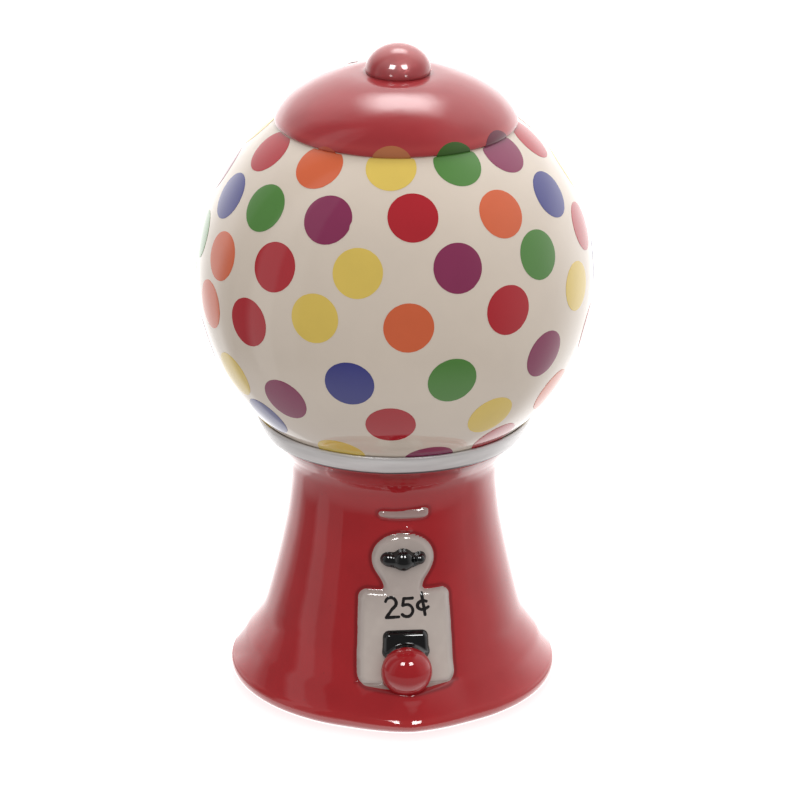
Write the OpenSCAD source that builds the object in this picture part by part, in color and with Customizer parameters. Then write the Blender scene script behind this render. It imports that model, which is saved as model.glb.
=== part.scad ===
// Gumball-machine shaker set in glazed ceramic: a dotted globe with a red cap stacks in the silver rim of a
// red flared base. Millimetres, +Z up, front towards -Y, origin at the middle of the foot on the table.

/* [Globe] */
// Outer radius of the globe
globe_r = 32; // [31:0.1:33]
// Height of the globe's centre above the table
globe_z = 70.1; // [69.8:0.1:70.6]
// Thickness of the ceramic wall
wall = 2.8; // [2.2:0.1:3.2]
// Height of the globe's flat foot above the table
globe_foot_z = 41.6; // [41.4:0.1:41.8]
// Radius of the filler hole under the globe
globe_hole_r = 7; // [6:0.1:7.2]

/* [Cap] */
// Radius of the three pour holes at the back of the cap
pour_r = 0.9; // [0.6:0.1:1.2]
// Distance of the pour holes from the axis
pour_ring = 9.4; // [8.8:0.1:10.5]
// Radius of the cap's knob
knob_r = 5.3; // [4.8:0.1:5.6]
// Top of the cap's knob above the table
knob_top = 108.5; // [107:0.1:110]

/* [Dots] */
// Angular radius of a dot, in degrees at the globe's centre
dot_a = 7.1; // [6:0.1:7.4]
// How far a dot stands out of the glaze
dot_t = 0.1; // [0.08:0.01:0.15]

/* [Base] */
// Radius of the silver lip that the globe nests in
lip_r = 22.6; // [22.5:0.1:22.9]
// Height of the silver lip above the table
lip_z = 46.9; // [46.8:0.1:47]
// Gap between the globe and the cup
cup_gap = 0.3; // [0.25:0.05:0.4]
// Radius of the well under the globe
well_r = 11.2; // [10.5:0.1:11.4]
// Floor of the well above the table
well_z = 36.4; // [36:0.1:36.5]
// Radius of the filler hole under the base
base_hole_r = 8.5; // [7.5:0.1:9]

/* [Front relief] */
// How far the coin plate stands out of the base
plate_t = 0.9; // [0.6:0.1:1.2]
// Half the coin plate's width at its foot
plate_w = 7.85; // [7:0.05:8.2]
// Radius of the coin plate's round head
head_r = 4.8; // [4.4:0.1:5]
// Radius of the ball in the chute
ball_r = 4; // [3.6:0.1:4.2]
// How far the price stands out of the coin plate
ink_t = 0.12; // [0.1:0.01:0.2]
// Width of the price's strokes
ink_w = 0.5; // [0.4:0.05:0.6]

/* [Stoppers] */
// Radial clearance of a stopper in its hole
stop_gap = 0.05; // [0.03:0.01:0.08]

/* [Hidden] */
$fn = 96;
RED = [0.70, 0.07, 0.08];
BLACK = [0.05, 0.05, 0.06];
CREAM = [0.93, 0.90, 0.85];

// A smooth curve through points (Catmull-Rom), n steps a span
function cr(a, b, c, d, t) = 0.5*((2*b) + (c - a)*t + (2*a - 5*b + 4*c - d)*t*t + (3*b - a - 3*c + d)*t*t*t);
function smooth(p, n) = concat([for (i = [0:len(p) - 2]) for (j = [0:n - 1])
    cr(p[max(i - 1, 0)], p[i], p[i + 1], p[min(i + 2, len(p) - 1)], j/n)], [p[len(p) - 1]]);
function arc(c, r, a0, a1, n) = [for (i = [0:n]) c + r*[cos(a0 + (a1 - a0)*i/n), sin(a0 + (a1 - a0)*i/n)]];
function rev(p) = [for (i = [len(p) - 1:-1:0]) p[i]];

// The base's outer curve, radius and height, from the foot's edge up to the silver rim
base_pts = [[24.1, 0], [24.9, 0.35], [25.9, 0.9], [26.65, 1.6], [26.85, 2.5], [26.55, 3.5], [25.85, 4.6], [24.95, 5.8],
    [24.1, 7.1], [23.2, 8.4], [22.3, 9.8], [21.5, 11.3], [20.9, 13], [20.25, 15.5], [19.65, 18], [18.9, 21.2], [18.2, 24.5],
    [17.45, 28.5], [16.95, 32.6], [16.8, 35.6], [17.15, 38.2], [18, 40], [18.95, 41.3], [19.85, 42.4], [20.5, 43.2]];
base_curve = smooth(base_pts, 2);
rim_in = 20.5;
gap_r = globe_r + cup_gap;
function on_gap(r) = globe_z - sqrt(gap_r*gap_r - r*r);

// The base's radius at a height, and its curve between two heights
function base_r(z) = lookup(z, [for (p = base_curve) [p[1], p[0]]]);
function stretch(z0, z1) = concat([[base_r(z0), z0]], [for (p = base_curve) if (p[1] > z0 + 0.05 && p[1] < z1 - 0.05) p],
    z1 < 43 ? [[base_r(z1), z1]] : [base_pts[len(base_pts) - 1]]);
function out_by(p, t) = [for (q = p) q + [t, 0]];

module front(angle = 70) rotate([0, 0, -90 - angle/2]) rotate_extrude(angle = angle) children();
// A skin on the base's front, from t0 to t1 proud of it
module skin(z0, z1, t0, t1) front() polygon(concat(out_by(stretch(z0, z1), t0), rev(out_by(stretch(z0, z1), t1))));
// All that lies behind that skin's face
module behind(z0, z1, t) front(84) polygon(concat([[8, z0], [8, z1]], rev(out_by(stretch(z0, z1), t))));
// A flat outline in X and Z pushed forwards through the base's front
module through_front() translate([0, -12, 0]) rotate([90, 0, 0]) linear_extrude(height = 22) children();

cup_z = 33.6;
ball_c = [0, -24, 10.4];
module outer(z0, z1) rotate_extrude() polygon(concat([[0, z0]], stretch(z0, z1), [[0, z1]]));

// The waisted body: an open tube with a floor, which the cup closes
module base_body() color(RED) difference() {
    outer(0, cup_z);
    rotate_extrude() polygon([[0, 34], [13.4, 34], [13.7, 30], [15.2, 23], [16.6, 17], [18.3, 12], [20.4, 8.4],
        [21.9, 6], [21.8, 4.2], [0, 4.2]]);
    translate([0, 0, -1]) cylinder(r = 20.2, h = 2.5);
    translate([0, 0, -1]) cylinder(r = base_hole_r, h = 8);
}

// The cup that the globe nests in: a round seat, a flat ledge, and a well that clears the globe's stopper
module globe_cup() color(RED) difference() {
    rotate_extrude() polygon(concat([[0, cup_z]], stretch(cup_z, 50), [[rim_in, 43.35], [rim_in, on_gap(rim_in) + 1.5],
        [0, on_gap(rim_in) + 1.5]]));
    intersection() {
        translate([0, 0, globe_z]) sphere(r = gap_r);
        translate([0, 0, globe_foot_z]) cylinder(r = 30, h = 20);
    }
    translate([0, 0, well_z]) cylinder(r = well_r, h = 8);
    for (a = [90, 210, 330]) rotate([0, 0, a]) translate([6, 0, 32]) cylinder(r = 1, h = 6);
}

module rim_band() color([0.78, 0.78, 0.79]) rotate_extrude() polygon(concat(
    [[rim_in, 43.35], [21.05, 43.3], [21.3, 43.5], [21.6, 44.1], [22.05, 45.1], [lip_r - 0.08, 46.2], [lip_r, 46.55],
     [lip_r - 0.05, 46.8], [lip_r - 0.2, lip_z]],
    [for (r = [22.25, 21.8, 21.4, 21, rim_in]) [r, on_gap(r)]]));

module round_rect(x0, x1, z0, z1, r) polygon(concat(arc([x1 - r, z0 + r], r, -90, 0, 6), arc([x1 - r, z1 - r], r, 0, 90, 6),
    arc([x0 + r, z1 - r], r, 90, 180, 6), arc([x0 + r, z0 + r], r, 180, 270, 6)));

module plate_outline() {
    polygon(concat([[plate_w, 7.9]], arc([plate_w - 1.35, 9.3], 1.3, -40, 0, 3), arc([7.3 - 1.5, 22.4 - 1.5], 1.5, 4, 84, 5),
        arc([-7.3 + 1.5, 22.4 - 1.5], 1.5, 96, 176, 5), arc([1.35 - plate_w, 9.3], 1.3, 180, 220, 3), [[-plate_w, 7.9]]));
    polygon([[-3.5, 22.2], [3.5, 22.2], [3.1, 23], [3.05, 23.7], [3.3, 24.6], [-3.3, 24.6], [-3.05, 23.7], [-3.1, 23]]);
    translate([0, 27.3]) circle(r = head_r);
}
module coin_plate() color([0.80, 0.77, 0.74]) intersection() {
    skin(7, 33.5, 0, plate_t);
    through_front() intersection() {
        plate_outline();
        translate([-20, 7.9]) square([40, 40]);
    }
}

// The foot's rounded prow under the chute: a smaller round form set forward, cut off where it meets the foot
prow_y = 15.2;
module catch_tray() color(RED) difference() {
    translate([0, -prow_y, 0]) rotate_extrude() polygon(concat([[0, 0.4]], smooth([[11.2, 0.4], [12.3, 1], [13.0, 1.7], [13.2, 2.5],
        [12.8, 3.5], [11.9, 4.6], [10.9, 5.6], [9.9, 6.5], [9.1, 7.05], [8.4, 7.2]], 2), [[0, 7.2]]));
    rotate_extrude() polygon(concat([[0, -1], [base_r(0), -1]], stretch(0, 20), [[0, 20]]));
    translate(ball_c) sphere(r = ball_r);
}

module coin_slot_bar() color([0.72, 0.68, 0.66]) intersection() {
    skin(32, 39, 0, 0.5);
    through_front() polygon(concat(arc([-3.5, 35.2], 0.55, 90, 262, 6), arc([0, 45], 10.55, 253, 287, 8), arc([3.5, 35.45], 0.7, -82, 90, 6),
        rev(arc([0, 45], 9.25, 252, 288, 8))));
}

module oval(a, b) rotate([0, 90, 0]) rotate_extrude() polygon([for (i = [0:12]) [b*sin(15*i), a*cos(15*i)]]);
module coin_crank() color(BLACK) difference() {
    translate([-0.25, -18.25, 27.75]) union() {
        oval(3.55, 1.35);
        sphere(r = 1.75);
        translate([2.75, -0.1, 0.1]) sphere(r = 0.98);
    }
    behind(20, 34, plate_t);
}

// An open stroke of width w through points
function dirs(p) = [for (i = [0:len(p) - 1]) let (d = p[min(i + 1, len(p) - 1)] - p[max(i - 1, 0)]) d/norm(d)];
function side(p, w) = [for (i = [0:len(p) - 1]) let (d = dirs(p)[i]) p[i] + [-d[1], d[0]]*w/2];
module stroke(p, w) polygon(concat(side(p, w), rev(side(p, -w))));
two = concat(arc([-2.3, 20.25], 0.8, 165, -30, 7), [[-2.3, 19.0], [-3.15, 17.95], [-1.35, 17.95]]);
five = concat([[0.35, 21.0], [-0.72, 21.0]], arc([-0.3, 18.95], 0.93, 125, -150, 8));
cent = arc([1.85, 19.55], 0.8, 50, 310, 9);
// The plate's face is close to straight where the price is
module ink(p) intersection() {
    front(40) polygon([for (q = [[0, 17], [0, 22], [1, 22], [1, 17]]) [20.82 - 0.232*(q[1] - 17) + plate_t - 0.9 + q[0]*ink_t, q[1]]]);
    through_front() stroke(p, ink_w);
}
module price_mark() color(BLACK) {
    ink(two);
    ink(five);
    ink(cent);
    ink([[2.08, 20.1], [2.2, 21.2]]);
    ink([[1.75, 17.9], [1.82, 19.0]]);
}

module chute_hood() color(BLACK) difference() {
    intersection() {
        skin(10, 18, plate_t, plate_t + 1.9);
        through_front() round_rect(-3.85, 3.85, 11.7, 16.3, 0.9);
    }
    translate(ball_c) sphere(r = ball_r);
}
module chute_gumball() color([0.75, 0.08, 0.10]) difference() {
    translate(ball_c) sphere(r = ball_r);
    behind(1.9, 20, plate_t);
}

// A soft plug: hollow shank, flat flange and a thumb ridge under it
module stopper(r, flange, z, len) color([0.88, 0.88, 0.86]) rotate_extrude() polygon([
    [0, z - 1.2], [flange - 0.3, z - 1.2], [flange, z - 0.9], [flange, z - 0.05], [r, z - 0.05], [r, z + len - 0.4],
    [r - 0.4, z + len], [r - 1.3, z + len], [r - 1.5, z + len - 0.3], [r - 1.5, z + 0.7], [0, z + 0.7]]);
module base_stopper() stopper(base_hole_r - stop_gap, 10, 1.5, 4.3);
module globe_stopper() stopper(globe_hole_r - stop_gap, 8.4, globe_foot_z + 1.5, 3.9);

pour_tilt = asin(pour_ring/globe_r);
module pour_holes() for (a = [52, 90, 128]) translate([0, 0, globe_z]) rotate([0, 0, a]) rotate([0, pour_tilt, 0])
    translate([0, 0, 20]) cylinder(r = pour_r, h = 20);

module globe_shell() color(CREAM) difference() {
    intersection() {
        translate([0, 0, globe_z]) sphere(r = globe_r);
        translate([0, 0, globe_foot_z]) cylinder(r = 40, h = 80);
    }
    intersection() {
        translate([0, 0, globe_z]) sphere(r = globe_r - wall);
        translate([0, 0, globe_foot_z + 1.5 + wall]) cylinder(r = 40, h = 80);
    }
    translate([0, 0, globe_foot_z - 1]) cylinder(r = 11.8, h = 2.5);
    translate([0, 0, globe_foot_z - 1]) cylinder(r = globe_hole_r, h = 10);
    pour_holes();
}

cap_flat = 103.8;
cap_curve = smooth([[5.7, cap_flat], [7.5, 103.7], [9.3, 103.35], [11.3, 102.7], [13.4, 101.8], [15.5, 100.6], [17.1, 99.4],
    [18.3, 98.15], [19.1, 97], [19.4, 96.3], [19.3, 95.8], [18.7, 95.45]], 2);
module cap_solid() rotate_extrude() polygon(concat([[0, 94], [0, cap_flat]], cap_curve, [[18.5, 94]]));
module lid_cap() color(RED) difference() {
    cap_solid();
    translate([0, 0, globe_z]) sphere(r = globe_r);
    pour_holes();
}
// The knob sits a little to one side
module lid_knob() color(RED) translate([0.25, 0, 0]) rotate_extrude() polygon(concat([[0, cap_flat], [knob_r - 0.15, cap_flat]],
    [for (a = [0:10:80]) [knob_r*cos(a), cap_flat + 0.2 + (knob_top - cap_flat - 0.2)*sin(a)]], [[0, knob_top]]));

// One dot: a thin cap of the sphere about Z
dot_in = globe_r + 0.008;
module dot_cap() rotate_extrude($fn = 48) polygon(concat(
    [for (i = [0:3]) dot_in*[sin(dot_a*i/3), cos(dot_a*i/3)]],
    [for (i = [3:-1:0]) (globe_r + dot_t)*[sin(dot_a*i/3), cos(dot_a*i/3)]]));
module dot_at(lon, lat) translate([0, 0, globe_z]) rotate([0, 0, lon - 90]) rotate([0, 90 - lat, 0]) dot_cap();
// Dots that run up onto the cap stop at its edge here
module dots(list) for (d = list) {
    if (d[1] > 42) difference() {
        dot_at(d[0], d[1]);
        cap_solid();
    }
    else dot_at(d[0], d[1]);
}
// Each dot's place: degrees round from the front, towards +X, and degrees above the globe's middle. They run in
// seven rows of twelve or thirteen, set by hand and so a little uneven.
red = [[-72, 47], [77, 48], [-134, 48], [0, 35], [149, 33], [72, 19], [-44, 17], [-145, 17], [28, 6], [-52, -1],
    [116, 4], [75, -13], [-172, -12], [-7, -29], [-93, -35], [37, -43], [147, -45], [-116, -46]];
orange = [[-40, 48], [107, 49], [32, 33], [-128, 32], [-68, 14], [101, 18], [-2, 4], [-73, -2], [-158, 3], [132, -12],
    [56, -28], [177, -28]];
yellow = [[-8, 50], [-107, 47], [167, 49], [92, 32], [-154, 33], [-17, 19], [-118, 17], [-29, 5], [59, 5], [145, 4],
    [-65, -22], [103, -13], [-143, -13], [27, -29], [118, -29], [-28, -46], [73, -44], [-176, -46], [-80, -49]];
green = [[22, 50], [137, 49], [-55, 32], [177, 33], [42, 19], [-89, 14], [159, 18], [-101, -1], [11, -13], [87, -29],
    [-152, -29], [-146, -47]];
blue = [[-77, 30], [59, 33], [120, 33], [-172, 18], [87, 4], [-129, 3], [-19, -14], [160, -12], [-57, -36],
    [-122, -30], [110, -45]];
purple = [[49, 50], [-163, 49], [-29, 33], [-101, 32], [13, 20], [130, 18], [173, 4], [43, -11], [-42, -24],
    [-115, -14], [-90, -18], [9, -48], [148, -29]];

module dots_red() color([0.72, 0.10, 0.12]) dots(red);
module dots_orange() color([0.90, 0.38, 0.16]) dots(orange);
module dots_yellow() color([0.87, 0.75, 0.25]) dots(yellow);
module dots_green() color([0.20, 0.50, 0.18]) dots(green);
module dots_blue() color([0.20, 0.22, 0.58]) dots(blue);
module dots_purple() color([0.50, 0.16, 0.38]) dots(purple);

base_body();
globe_cup();
rim_band();
catch_tray();
coin_plate();
coin_slot_bar();
coin_crank();
price_mark();
chute_hood();
chute_gumball();
base_stopper();
globe_shell();
lid_cap();
lid_knob();
dots_red();
dots_orange();
dots_yellow();
dots_green();
dots_blue();
dots_purple();
globe_stopper();
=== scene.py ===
# A gumball-machine shaker set in glazed ceramic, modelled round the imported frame. Sizes below are in millimetres and
# become metres when a mesh is made. +Z up, the front faces -Y.
import math
import bpy
import bmesh
import numpy as np
from mathutils import Matrix, Vector

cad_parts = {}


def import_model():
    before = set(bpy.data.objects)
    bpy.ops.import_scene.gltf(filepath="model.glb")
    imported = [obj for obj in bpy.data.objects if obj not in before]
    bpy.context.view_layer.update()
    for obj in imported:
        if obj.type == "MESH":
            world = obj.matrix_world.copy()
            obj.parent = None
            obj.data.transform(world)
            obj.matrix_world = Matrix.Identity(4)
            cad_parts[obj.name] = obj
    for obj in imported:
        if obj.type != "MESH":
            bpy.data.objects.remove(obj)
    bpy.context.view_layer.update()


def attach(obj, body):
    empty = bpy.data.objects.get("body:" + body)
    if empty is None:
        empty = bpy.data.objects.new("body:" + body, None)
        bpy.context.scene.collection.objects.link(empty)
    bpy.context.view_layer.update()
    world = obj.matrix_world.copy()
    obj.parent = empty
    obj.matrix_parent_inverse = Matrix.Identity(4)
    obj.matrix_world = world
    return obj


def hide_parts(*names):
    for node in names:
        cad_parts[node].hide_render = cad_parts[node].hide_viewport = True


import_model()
MM = 0.001

# ---------------------------------------------------------------- measures shared with the CAD model
GZ, GR = 70.1, 32.0           # the globe's centre height and radius
GAP_R = 32.3                  # the cup's round seat
RIM_IN = 20.5                 # where the red cup ends under the silver band
FOOT_Z = 41.6                 # the globe's foot on the cup's ledge
BASE_PTS = [(24.1, 0), (24.9, 0.35), (25.9, 0.9), (26.65, 1.6), (26.85, 2.4), (26.66, 3.15), (26.2, 3.75), (25.55, 4.65), (24.85, 5.75), (24.1, 7.1),
            (23.2, 8.4), (22.3, 9.8), (21.5, 11.3), (20.9, 13), (20.25, 15.5), (19.65, 18), (18.9, 21.2), (18.2, 24.5),
            (17.45, 28.5), (16.95, 32.6), (16.8, 35.6), (17.15, 38.2), (18, 40), (18.95, 41.3), (19.85, 42.4), (20.5, 43.2)]
CAP_PTS = [(5.15, 103.96), (5.7, 103.84), (7.5, 103.7), (9.3, 103.35), (11.3, 102.7), (13.4, 101.8), (15.5, 100.6),
           (17.1, 99.4), (18.3, 98.15), (19.1, 97.0), (19.4, 96.3), (19.3, 95.8), (18.95, 95.6)]
PLATE_T = 0.8
BALL = (0.0, -24.0, 10.4, 4.0)
DOT_A = 7.1
DOTS = {
    "red": [(-72, 47), (77, 48), (-134, 48), (0, 35), (149, 33), (72, 19), (-44, 17), (-145, 17), (28, 6), (-52, -1),
           (116, 4), (75, -13), (-172, -12), (-7, -29), (-93, -35), (37, -43), (147, -45), (-116, -46)],
    "orange": [(-40, 48), (107, 49), (32, 33), (-128, 32), (-68, 14), (101, 18), (-2, 4), (-73, -2), (-158, 3),
              (132, -12), (56, -28), (177, -28)],
    "yellow": [(-8, 50), (-107, 47), (167, 49), (92, 32), (-154, 33), (-17, 19), (-118, 17), (-29, 5), (59, 5),
              (145, 4), (-65, -22), (103, -13), (-143, -13), (27, -29), (118, -29), (-28, -46), (73, -44), (-176, -46),
              (-80, -49)],
    "green": [(22, 50), (137, 49), (-55, 32), (177, 33), (42, 19), (-89, 14), (159, 18), (-101, -1), (11, -13),
             (87, -29), (-152, -29), (-146, -47)],
    "blue": [(-77, 30), (59, 33), (120, 33), (-172, 18), (87, 4), (-129, 3), (-19, -14), (160, -12), (-57, -36),
            (-122, -30), (110, -45)],
    "purple": [(49, 50), (-163, 49), (-29, 33), (-101, 32), (13, 20), (130, 18), (173, 4), (43, -11), (-42, -24),
              (-115, -14), (-90, -18), (9, -48), (148, -29)],
}
POUR_ANGLES, POUR_RING, POUR_R = (52, 90, 128), 9.4, 0.9


# ---------------------------------------------------------------- small maths helpers
def catmull(pts, n):
    p = [np.array(q, float) for q in pts]
    out = []
    for i in range(len(p) - 1):
        a, b, c, d = p[max(i - 1, 0)], p[i], p[i + 1], p[min(i + 2, len(p) - 1)]
        for j in range(n):
            t = j / n
            out.append(0.5 * (2 * b + (c - a) * t + (2 * a - 5 * b + 4 * c - d) * t * t + (3 * b - a - 3 * c + d) * t ** 3))
    out.append(p[-1])
    return np.array(out)


def resample(pts, step):
    """Points at an even spacing along a polyline."""
    pts = np.asarray(pts, float)
    seg = np.linalg.norm(np.diff(pts, axis=0), axis=1)
    s = np.concatenate([[0], np.cumsum(seg)])
    n = max(2, int(round(s[-1] / step)) + 1)
    t = np.linspace(0, s[-1], n)
    return np.stack([np.interp(t, s, pts[:, k]) for k in range(pts.shape[1])], 1)


def round_corners(pts, radii, n=6):
    """A polyline with each inner corner replaced by an arc-like curve; radii holds one number a point."""
    pts = [np.array(p, float) for p in pts]
    out = [pts[0]]
    for i in range(1, len(pts) - 1):
        r = radii[i]
        a, b, c = pts[i - 1], pts[i], pts[i + 1]
        if r <= 0:
            out.append(b)
            continue
        u, v = a - b, c - b
        r1 = min(r, np.linalg.norm(u) * 0.48)
        r2 = min(r, np.linalg.norm(v) * 0.48)
        p0, p2 = b + u / np.linalg.norm(u) * r1, b + v / np.linalg.norm(v) * r2
        for k in range(n + 1):
            t = k / n
            out.append((1 - t) ** 2 * p0 + 2 * t * (1 - t) * b + t * t * p2)
    out.append(pts[-1])
    return np.array(out)


def sstep(a, b, x):
    t = np.clip((x - a) / (b - a), 0, 1)
    return t * t * (3 - 2 * t)


def smin(a, b, k):
    h = np.clip(0.5 + 0.5 * (b - a) / k, 0, 1)
    return b * (1 - h) + a * h - k * h * (1 - h)


def smax(a, b, k):
    return -smin(-a, -b, k)


def wob(x, z, seed=0.0):
    """A slow, smooth, repeatable unevenness between about -1 and 1."""
    return (np.sin(0.83 * x + 1.7 + seed) * np.cos(0.61 * z - 0.4 + 2 * seed) + 0.6 * np.sin(1.9 * x - 1.3 * z + 3 * seed)
            + 0.4 * np.cos(2.7 * z + 1.1 * x + seed)) / 2


# ---------------------------------------------------------------- meshes
def obj(name, V, F, mats, midx=None, attrs=None, smooth=True, sharp=None):
    me = bpy.data.meshes.new(name)
    me.from_pydata((np.asarray(V, float) * MM).tolist(), [], [tuple(int(k) for k in f) for f in F])
    for m in mats:
        me.materials.append(m)
    if midx is not None:
        me.polygons.foreach_set("material_index", np.asarray(midx, np.int32))
    for k, a in (attrs or {}).items():
        at = me.attributes.new(k, "FLOAT", "POINT")
        at.data.foreach_set("value", np.asarray(a, np.float32))
    me.polygons.foreach_set("use_smooth", np.full(len(me.polygons), smooth))
    if sharp is not None:
        me.set_sharp_from_angle(angle=math.radians(sharp))
    me.validate()
    me.update()
    o = bpy.data.objects.new(name, me)
    bpy.context.scene.collection.objects.link(o)
    return o


def grid_faces(nr, nc, wrap=True):
    i = np.arange(nr - 1)[:, None]
    j = np.arange(nc if wrap else nc - 1)[None]
    k = (j + 1) % nc
    return np.stack([i * nc + j, i * nc + k, (i + 1) * nc + k, (i + 1) * nc + j], -1).reshape(-1, 4)


def revolve(profile, n=192):
    """Profile points (r, z) turned about Z. Ends on the axis are closed with a fan."""
    prof = np.asarray(profile, float)
    tip0, tip1 = prof[0, 0] < 1e-6, prof[-1, 0] < 1e-6
    body = prof[(1 if tip0 else 0):(len(prof) - 1 if tip1 else len(prof))]
    th = np.linspace(0, 2 * np.pi, n, endpoint=False)
    V = np.stack([body[:, :1] * np.sin(th)[None], -body[:, :1] * np.cos(th)[None], np.repeat(body[:, 1:2], n, 1)], -1).reshape(-1, 3)
    F = grid_faces(len(body), n).tolist()
    V = V.tolist()
    if tip0:
        V.append([0, 0, prof[0, 1]])
        F += [[(j + 1) % n, j, len(V) - 1] for j in range(n)]
    if tip1:
        V.append([0, 0, prof[-1, 1]])
        o = (len(body) - 1) * n
        F += [[o + j, o + (j + 1) % n, len(V) - 1] for j in range(n)]
    return np.array(V), F


def on_gap(r):
    return GZ - math.sqrt(GAP_R ** 2 - r * r)


# ---------------------------------------------------------------- the front's relief, as heights over the base
base_curve = catmull(BASE_PTS, 10)
_bz, _br = base_curve[:, 1], base_curve[:, 0]


def base_r(z):
    return np.interp(z, _bz, _br)


def sd_rbox(x, z, hx, cz, hz, r):
    qx, qz = np.abs(x) - (hx - r), np.abs(z - cz) - (hz - r)
    return np.hypot(np.maximum(qx, 0), np.maximum(qz, 0)) + np.minimum(np.maximum(qx, qz), 0) - r


def plate_d(x, z):
    """Distance outside the coin plate's outline: a rounded plate, wider at its foot, with a neck and a round head."""
    x = x + 0.05 * wob(x, z, 0.3)
    hw = 7.2 + 0.6 * np.clip((22.4 - z) / 13.4, 0, 1.1)
    body = sd_rbox(x + 0.05, z, hw, 15.1, 7.3, 1.5)
    neck = np.maximum(np.abs(x + 0.25) - 2.95, np.abs(z - 23.6) - 2.2)
    head = (np.sqrt(((x + 0.2) / 4.9) ** 2 + ((z - 27.45) / 4.2) ** 2) - 1) * 4.55
    return smin(smin(head, neck, 1.5), body, 0.6)


def pillow(d, out, inn):
    """0 outside the outline, 1 inside, with a rounded shoulder and a soft foot."""
    t = np.clip((out - d) / (out + inn), 0, 1)
    return np.where(t < 0.3, (t / 0.3) ** 2 * 0.18, 0.18 + 0.82 * np.sin(np.clip((t - 0.3) / 0.7, 0, 1) * np.pi / 2) ** 1.0)


def slot_d(x, z):
    """The coin slot's bar: a slim smile, blunt at +X and narrower at -X."""
    u = x + 0.1
    mid = 34.8 + 0.012 * u * u + 0.02 * u + 0.02 * wob(x, z, 1.0)
    half = np.interp(u, [-4.2, -3.9, -3.3, -1.0, 1.5, 3.2, 4.0, 4.3], [0.18, 0.38, 0.58, 0.66, 0.76, 0.84, 0.70, 0.45])
    return smax(np.abs(z - mid) - half, np.abs(u) - 4.02, 0.55)


TRAY_Z = [0.0, 0.35, 0.8, 1.3, 1.9, 2.5, 2.9, 3.2, 3.45, 3.75, 4.2, 4.8, 5.8, 6.6, 7.05, 7.35, 7.55, 7.7, 7.8, 7.9, 8.05]
TRAY_TIP = [24.4, 25.7, 26.9, 27.8, 28.4, 28.55, 28.42, 28.14, 27.92, 27.78, 27.66, 27.54, 27.36, 27.24, 27.14, 26.98, 26.7, 26.2, 25.6, 24.8, 23.8]


def tray_h(x, z):
    """The catch tray under the chute: it juts from the foot as a rounded V with a flat top, as a height over the base."""
    r0 = base_r(z)
    tip = np.where(z < TRAY_Z[-1], np.interp(z, TRAY_Z, TRAY_TIP) - r0, 0.0)
    w = np.interp(z, [0, 2.5, 7.6], [9.0, 9.2, 7.6])
    u = np.abs(x - 0.35) / w
    v = 1.12 - np.sqrt(u * u + 0.0144)
    v = smax(v, np.zeros_like(v), 0.16) * np.clip((1.75 - u) / 0.5, 0, 1)
    hy = np.maximum(tip, 0) * np.clip(v, 0, 1.02)
    y0 = np.sqrt(np.maximum(r0 * r0 - x * x, 0))
    return np.sqrt(x * x + (y0 + hy) ** 2) - r0


def relief(x, z):
    h = PLATE_T * pillow(plate_d(x, z), 0.3, 0.9)
    h = h + 0.42 * pillow(slot_d(x, z), 0.22, 0.6)
    # a run of glaze between the slot and the plate's head
    h = h + 0.55 * np.exp(-((x - 0.35) / 0.8) ** 2 - ((z - 32.3) / 0.5) ** 2) * sstep(-0.1, 0.4, plate_d(x, z))
    return smax(h, tray_h(x, z), 0.1)


def front_point(x, z, lift=0.0, h=None):
    R = base_r(z) + (relief(x, z) if h is None else h) + lift
    return np.stack([x, -np.sqrt(np.maximum(R * R - x * x, 0)), z], -1)


# ---------------------------------------------------------------- materials
def nodes_of(m):
    m.use_nodes = True
    nt = m.node_tree
    nt.nodes.clear()
    return nt, nt.nodes, nt.links


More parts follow.
